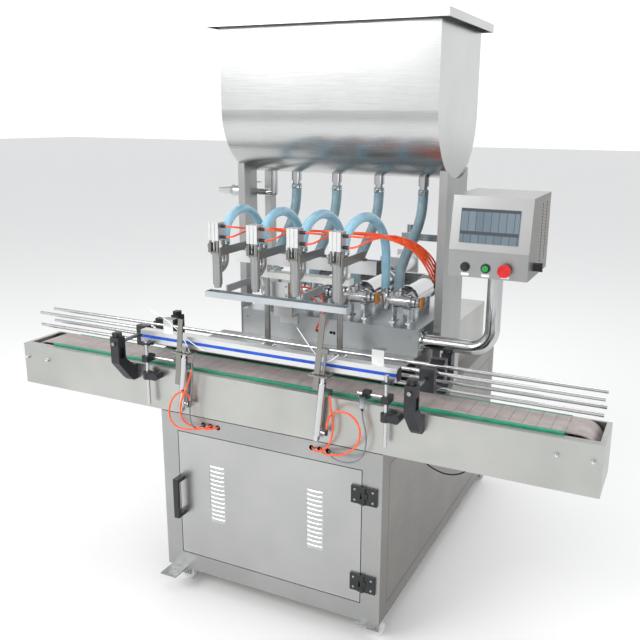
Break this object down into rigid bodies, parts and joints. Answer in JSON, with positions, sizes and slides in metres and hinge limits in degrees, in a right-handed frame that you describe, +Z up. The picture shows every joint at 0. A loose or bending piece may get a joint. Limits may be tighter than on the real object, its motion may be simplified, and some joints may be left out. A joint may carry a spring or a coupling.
{
  "type": "piston liquid filler",
  "caption": "Stainless piston liquid filler with overhead trough hopper, hose-fed filling heads, slat-chain conveyor with guide rails, bottle gates and a swivelling control box on a cabinet.",
  "frame": {"origin": "on the floor under the centre of the machine's bounding box", "axes": "+X along the conveyor towards the outfeed, +Y from the operator's side to the back, +Z up"},
  "size_m": [2, 1.405, 1.897],
  "materials": {
    "brushed_steel": "satin",
    "polished_steel": "polished",
    "zinc_steel": "satin",
    "black_hardware": "satin",
    "wheel_nylon": "matte",
    "green_wear_strip": "satin",
    "chain_plastic": "matte",
    "black_plastic": "matte",
    "anodised_aluminium": "satin",
    "grey_plastic": "matte",
    "orange_tube": "gloss",
    "screen_glass": "gloss",
    "green_button": "gloss",
    "red_button": "gloss",
    "grey_hose": "satin",
    "clear_hose": "gloss"
  },
  "bodies": {
    "machine_frame": {"cabinet_front_frame": "brushed_steel", "cabinet_panels": "brushed_steel", "cabinet_chassis": "brushed_steel", "base_plates": "zinc_steel", "door_hinge_leaves": "black_hardware", "conveyor_frame": "brushed_steel", "conveyor_bed": "brushed_steel", "edge_strips": "green_wear_strip", "slat_chain": "chain_plastic", "fasteners": "polished_steel", "guide_rails": "polished_steel", "rail_brackets": "black_plastic", "rail_clamps": "black_plastic", "stop_carrier": "anodised_aluminium", "rod_clamps": "black_plastic", "stop_cylinders": "polished_steel", "photo_eye": "grey_plastic", "machine_lines": "orange_tube", "front_deck": "brushed_steel", "rear_housing": "brushed_steel", "valve_base": "brushed_steel", "hopper": "brushed_steel", "product_pipework": "polished_steel", "hopper_stands": "brushed_steel", "valve_bodies": "polished_steel", "unit_mounts": "polished_steel", "product_cylinders": "polished_steel", "drive_cylinders": "anodised_aluminium", "control_arm": "polished_steel", "feed_hoses": "grey_hose", "nozzle_hoses": "clear_hose", "head_air_tubes": "orange_tube", "air_unit": "black_plastic"},
    "door": {"cabinet_door": "brushed_steel"},
    "left_fork": {"front_left_fork": "zinc_steel"},
    "right_fork": {"front_right_fork": "zinc_steel"},
    "left_wheel": {"front_left_wheel": "wheel_nylon"},
    "right_wheel": {"front_right_wheel": "wheel_nylon"},
    "rear_left": {"rear_left_wheel": "wheel_nylon"},
    "rear_right": {"rear_right_wheel": "wheel_nylon"},
    "drive": {"drive_shaft": "polished_steel"},
    "idler": {"idler_shaft": "polished_steel"},
    "left_gate": {"left_stop_gate": "brushed_steel"},
    "right_gate": {"right_stop_gate": "brushed_steel"},
    "drain_handle": {"drain_lever": "zinc_steel"},
    "spindles": {"valve_spindles": "polished_steel"},
    "carriage": {"piston_carriage": "polished_steel"},
    "lift": {"lift_frame": "polished_steel", "head_profile": "anodised_aluminium", "head_brackets": "brushed_steel", "filling_tubes": "polished_steel", "head_cylinders": "anodised_aluminium"},
    "plungers": {"head_plungers": "polished_steel"},
    "tray": {"drip_tray": "brushed_steel"},
    "control": {"control_box": "brushed_steel", "touch_screen": "screen_glass"},
    "stop_push": {"stop_button": "black_plastic"},
    "start_push": {"start_button": "green_button"},
    "estop": {"emergency_stop": "red_button"},
    "selector": {"selector_switch": "black_plastic"}
  },
  "joints": [
    {"name": "door_hinge", "type": "hinge", "parent": "machine_frame", "child": "door", "pos_m": [0.343, -0.611, 0.35], "axis": [0, 0, 1], "range_deg": [0, 110]},
    {"name": "left_swivel", "type": "hinge", "parent": "machine_frame", "child": "left_fork", "pos_m": [-0.358, -0.5575, 0.05], "axis": [0, 0, 1], "continuous": true},
    {"name": "right_swivel", "type": "hinge", "parent": "machine_frame", "child": "right_fork", "pos_m": [0.358, -0.5575, 0.05], "axis": [0, 0, 1], "continuous": true},
    {"name": "left_wheel_axle", "type": "hinge", "parent": "left_fork", "child": "left_wheel", "pos_m": [-0.343, -0.5575, 0.025], "axis": [0, 1, 0], "continuous": true},
    {"name": "right_wheel_axle", "type": "hinge", "parent": "right_fork", "child": "right_wheel", "pos_m": [0.373, -0.5575, 0.025], "axis": [0, 1, 0], "continuous": true},
    {"name": "rear_left_axle", "type": "hinge", "parent": "machine_frame", "child": "rear_left", "pos_m": [-0.343, 0.6375, 0.025], "axis": [0, 1, 0], "continuous": true},
    {"name": "rear_right_axle", "type": "hinge", "parent": "machine_frame", "child": "rear_right", "pos_m": [0.373, 0.6375, 0.025], "axis": [0, 1, 0], "continuous": true},
    {"name": "drive_shaft_turn", "type": "hinge", "parent": "machine_frame", "child": "drive", "pos_m": [0.93, -0.5085, 0.741], "axis": [0, 1, 0], "continuous": true},
    {"name": "idler_shaft_turn", "type": "hinge", "parent": "machine_frame", "child": "idler", "pos_m": [-0.93, -0.5085, 0.741], "axis": [0, 1, 0], "continuous": true},
    {"name": "left_gate_slide", "type": "slide", "parent": "machine_frame", "child": "left_gate", "axis": [0.1045, 0, 0.9945], "range_m": [0, 0.09]},
    {"name": "right_gate_slide", "type": "slide", "parent": "machine_frame", "child": "right_gate", "axis": [0.1045, 0, 0.9945], "range_m": [-0.068, 0.02]},
    {"name": "drain_turn", "type": "hinge", "parent": "machine_frame", "child": "drain_handle", "pos_m": [-0.44, -0.0075, 1.346], "axis": [0, 0, 1], "range_deg": [0, 90]},
    {"name": "valve_turn", "type": "hinge", "parent": "machine_frame", "child": "spindles", "pos_m": [0.023, -0.1335, 0.985], "axis": [1, 0, 0], "range_deg": [0, 90]},
    {"name": "metering_stroke", "type": "slide", "parent": "machine_frame", "child": "carriage", "axis": [0, 1, 0], "range_m": [0, 0.13]},
    {"name": "head_lift", "type": "slide", "parent": "machine_frame", "child": "lift", "axis": [0, 0, 1], "range_m": [-0.004, 0.06], "deforming": ["nozzle_hoses", "head_air_tubes"]},
    {"name": "shutoff", "type": "slide", "parent": "lift", "child": "plungers", "axis": [0, 0, 1], "range_m": [0, 0.018]},
    {"name": "tray_slide", "type": "slide", "parent": "machine_frame", "child": "tray", "axis": [0, 1, 0], "range_m": [0, 0.045]},
    {"name": "box_swivel", "type": "hinge", "parent": "machine_frame", "child": "control", "pos_m": [0.592, -0.1725, 1.122], "axis": [0, 0, 1], "range_deg": [-60, 60]},
    {"name": "stop_press", "type": "slide", "parent": "control", "child": "stop_push", "axis": [0, 1, 0], "range_m": [0, 0.004], "stiffness_N_per_m": 300},
    {"name": "start_press", "type": "slide", "parent": "control", "child": "start_push", "axis": [0, 1, 0], "range_m": [0, 0.004], "stiffness_N_per_m": 300},
    {"name": "estop_press", "type": "slide", "parent": "control", "child": "estop", "axis": [0, 1, 0], "range_m": [0, 0.005]},
    {"name": "selector_turn", "type": "hinge", "parent": "control", "child": "selector", "pos_m": [0.72, -0.2305, 1.16], "axis": [1, 0, 0], "range_deg": [-45, 45]}
  ],
  "couplings": [
    {"joint": "idler_shaft_turn", "follows": "drive_shaft_turn", "ratio": 1}
  ]
}
